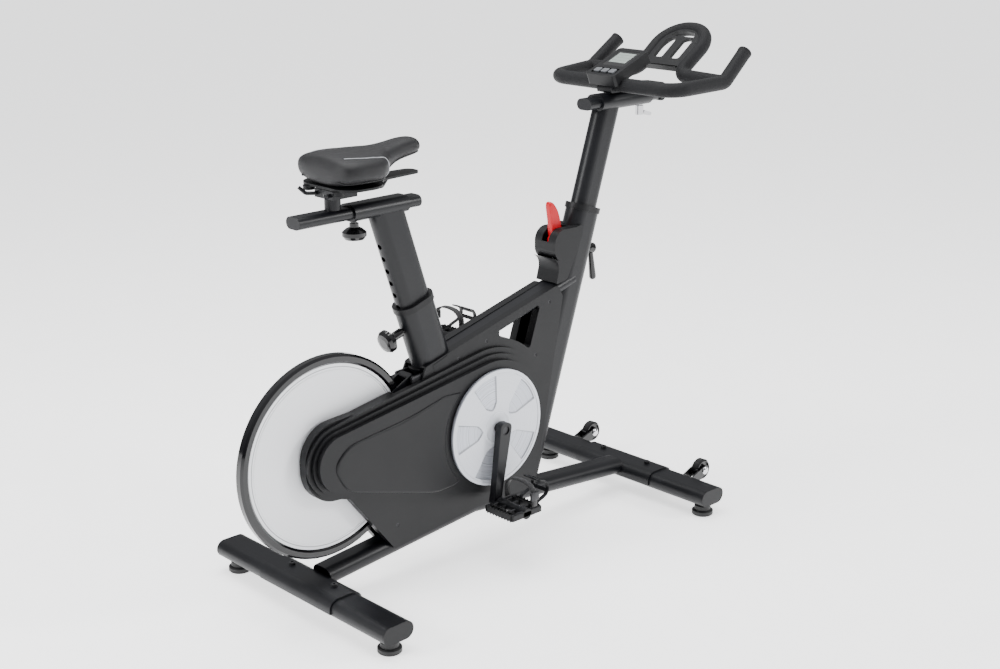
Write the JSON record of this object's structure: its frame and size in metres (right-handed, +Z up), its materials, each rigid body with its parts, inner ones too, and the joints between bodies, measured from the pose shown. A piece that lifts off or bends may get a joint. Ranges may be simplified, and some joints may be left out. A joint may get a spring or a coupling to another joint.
{
  "type": "exercise bike",
  "caption": "Indoor cycling bike: rear flywheel behind stepped side covers, two cross feet, leaning seat and front posts, padded saddle, looped handlebar with display.",
  "frame": {"origin": "on the floor under the middle of the bike's outline", "axes": "+X the way the rider faces, +Y to the rider's left, +Z up"},
  "size_m": [1.421, 0.595, 1.1637],
  "materials": {
    "frame_black": "satin powder coat, near black",
    "black_plastic": "fine matt texture, near black",
    "gloss_black": "glossy moulded black",
    "rim_black": "glossy black enamel over steel",
    "disc_white": "satin silver white",
    "disc_cover": "satin silver white plastic",
    "steel": "zinc plated",
    "chrome": "polished",
    "cast": "machined, dark",
    "belt_rubber": "ribbed black belt",
    "foot_rubber": "moulded black rubber",
    "foam": "closed-cell foam, fine grain",
    "lever_red": "satin red",
    "saddle_skin": "smooth black synthetic leather over padding",
    "strap_web": "black woven webbing",
    "screen": "grey-green display under a clear window",
    "key_plastic": "light grey"
  },
  "bodies": {
    "frame": {"stabiliser_tubes": "frame_black", "stabiliser_brackets": "frame_black", "stabiliser_end_caps": "black_plastic", "stabiliser_bolts": "steel", "main_beam": "frame_black", "transport_wheel_brackets": "frame_black", "seat_tube": "frame_black", "front_post": "frame_black", "top_beam": "frame_black", "bottom_bracket": "frame_black", "flywheel_stays": "frame_black", "drive_belt": "belt_rubber", "magnet_pivot": "steel", "shaft_bearings": "steel", "right_cover": "black_plastic", "left_cover": "black_plastic", "cover_screws": "steel", "tube_collars": "black_plastic", "lever_housing": "black_plastic"},
    "foot_rear_left": {"rear_left_foot": "foot_rubber"},
    "foot_rear_right": {"rear_right_foot": "foot_rubber"},
    "foot_front_left": {"front_left_foot": "foot_rubber"},
    "foot_front_right": {"front_right_foot": "foot_rubber"},
    "wheel_left": {"left_transport_wheel": "gloss_black"},
    "wheel_right": {"right_transport_wheel": "gloss_black"},
    "flywheel": {"flywheel_rim": "rim_black", "flywheel_disc": "disc_white", "flywheel_axle": "steel", "flywheel_pulley": "cast"},
    "crankset": {"crank_spindle": "steel", "drive_pulley": "black_plastic", "crank_discs": "disc_cover", "crank_arms": "frame_black", "pedal_spindles": "steel"},
    "pedal_right": {"right_pedal": "black_plastic", "right_toe_strap": "strap_web"},
    "pedal_left": {"left_pedal": "black_plastic", "left_toe_strap": "strap_web"},
    "brake_holder": {"magnet_holder": "steel"},
    "brake_lever": {"resistance_lever": "lever_red"},
    "seat_mast": {"seat_post": "frame_black"},
    "height_pin": {"seat_height_knob": "gloss_black"},
    "saddle": {"seat_slider": "frame_black", "saddle_clamp": "frame_black", "saddle_rails": "frame_black", "saddle_base": "black_plastic", "saddle_pad": "saddle_skin"},
    "slide_knob": {"seat_slide_knob": "gloss_black"},
    "bar_mast": {"handlebar_post": "frame_black"},
    "stem_handle": {"stem_lock": "chrome"},
    "post_handle": {"post_clamp": "chrome"},
    "bars": {"handlebar_slider": "frame_black", "handlebar": "foam", "loop_plate_panel": "black_plastic", "console_case": "black_plastic", "console_display": "screen"},
    "key_1": {"console_button_1": "key_plastic"},
    "key_2": {"console_button_2": "key_plastic"},
    "key_3": {"console_button_3": "key_plastic"}
  },
  "joints": [
    {"name": "rear_left_foot_height", "type": "slide", "parent": "frame", "child": "foot_rear_left", "axis": [0, 0, 1], "range_m": [-0.012, 0]},
    {"name": "rear_right_foot_height", "type": "slide", "parent": "frame", "child": "foot_rear_right", "axis": [0, 0, 1], "range_m": [-0.012, 0]},
    {"name": "front_left_foot_height", "type": "slide", "parent": "frame", "child": "foot_front_left", "axis": [0, 0, 1], "range_m": [-0.012, 0]},
    {"name": "front_right_foot_height", "type": "slide", "parent": "frame", "child": "foot_front_right", "axis": [0, 0, 1], "range_m": [-0.012, 0]},
    {"name": "left_wheel_spin", "type": "hinge", "parent": "frame", "child": "wheel_left", "pos_m": [0.544, 0.19, 0.073], "axis": [0, 1, 0], "continuous": true},
    {"name": "right_wheel_spin", "type": "hinge", "parent": "frame", "child": "wheel_right", "pos_m": [0.544, -0.19, 0.073], "axis": [0, 1, 0], "continuous": true},
    {"name": "flywheel_spin", "type": "hinge", "parent": "frame", "child": "flywheel", "pos_m": [-0.486, 0, 0.338], "axis": [0, 1, 0], "continuous": true},
    {"name": "crank_spin", "type": "hinge", "parent": "frame", "child": "crankset", "pos_m": [-0.049, 0, 0.308], "axis": [0, 1, 0], "continuous": true},
    {"name": "right_pedal_spin", "type": "hinge", "parent": "crankset", "child": "pedal_right", "pos_m": [-0.07618, -0.15, 0.14019], "axis": [0, 1, 0], "continuous": true},
    {"name": "left_pedal_spin", "type": "hinge", "parent": "crankset", "child": "pedal_left", "pos_m": [-0.02182, 0.15, 0.47581], "axis": [0, 1, 0], "continuous": true},
    {"name": "lever_swing", "type": "hinge", "parent": "frame", "child": "brake_lever", "pos_m": [0.208, 0, 0.692], "axis": [0, 1, 0], "range_deg": [-20, 25]},
    {"name": "magnet_swing", "type": "hinge", "parent": "frame", "child": "brake_holder", "pos_m": [-0.259, 0, 0.462], "axis": [0, 1, 0], "range_deg": [-3, 4]},
    {"name": "seat_height", "type": "slide", "parent": "frame", "child": "seat_mast", "axis": [-0.314, 0, 0.9494], "range_m": [-0.09, 0.05]},
    {"name": "height_pin_pull", "type": "slide", "parent": "frame", "child": "height_pin", "axis": [-0.9494, 0, -0.314], "range_m": [0, 0.01], "stiffness_N_per_m": 900, "springref_m": -0.004},
    {"name": "seat_slide", "type": "slide", "parent": "seat_mast", "child": "saddle", "axis": [1, 0, 0], "range_m": [-0.06, 0.02]},
    {"name": "seat_slide_knob_turn", "type": "hinge", "parent": "seat_mast", "child": "slide_knob", "pos_m": [-0.391, 0, 0.857], "axis": [0, 0, 1], "range_deg": [0, 360]},
    {"name": "handlebar_height", "type": "slide", "parent": "frame", "child": "bar_mast", "axis": [0.314, 0, 0.9494], "range_m": [-0.09, 0.05]},
    {"name": "handlebar_slide", "type": "slide", "parent": "bar_mast", "child": "bars", "axis": [1, 0, 0], "range_m": [-0.03, 0.03]},
    {"name": "stem_lock_turn", "type": "hinge", "parent": "bar_mast", "child": "stem_handle", "pos_m": [0.498, 0, 0.97], "axis": [0, 0, 1], "range_deg": [-90, 90]},
    {"name": "post_clamp_turn", "type": "hinge", "parent": "frame", "child": "post_handle", "pos_m": [0.31489, 0, 0.65884], "axis": [0.9494, 0, -0.314], "range_deg": [-60, 60]},
    {"name": "key_1_press", "type": "slide", "parent": "bars", "child": "key_1", "axis": [0.3746, 0, -0.9272], "range_m": [0, 0.001], "stiffness_N_per_m": 400, "springref_m": -0.0005},
    {"name": "key_2_press", "type": "slide", "parent": "bars", "child": "key_2", "axis": [0.3746, 0, -0.9272], "range_m": [0, 0.001], "stiffness_N_per_m": 400, "springref_m": -0.0005},
    {"name": "key_3_press", "type": "slide", "parent": "bars", "child": "key_3", "axis": [0.3746, 0, -0.9272], "range_m": [0, 0.001], "stiffness_N_per_m": 400, "springref_m": -0.0005}
  ],
  "couplings": [
    {"joint": "crank_spin", "follows": "flywheel_spin", "ratio": 0.25},
    {"joint": "magnet_swing", "follows": "lever_swing", "ratio": 0.12}
  ]
}
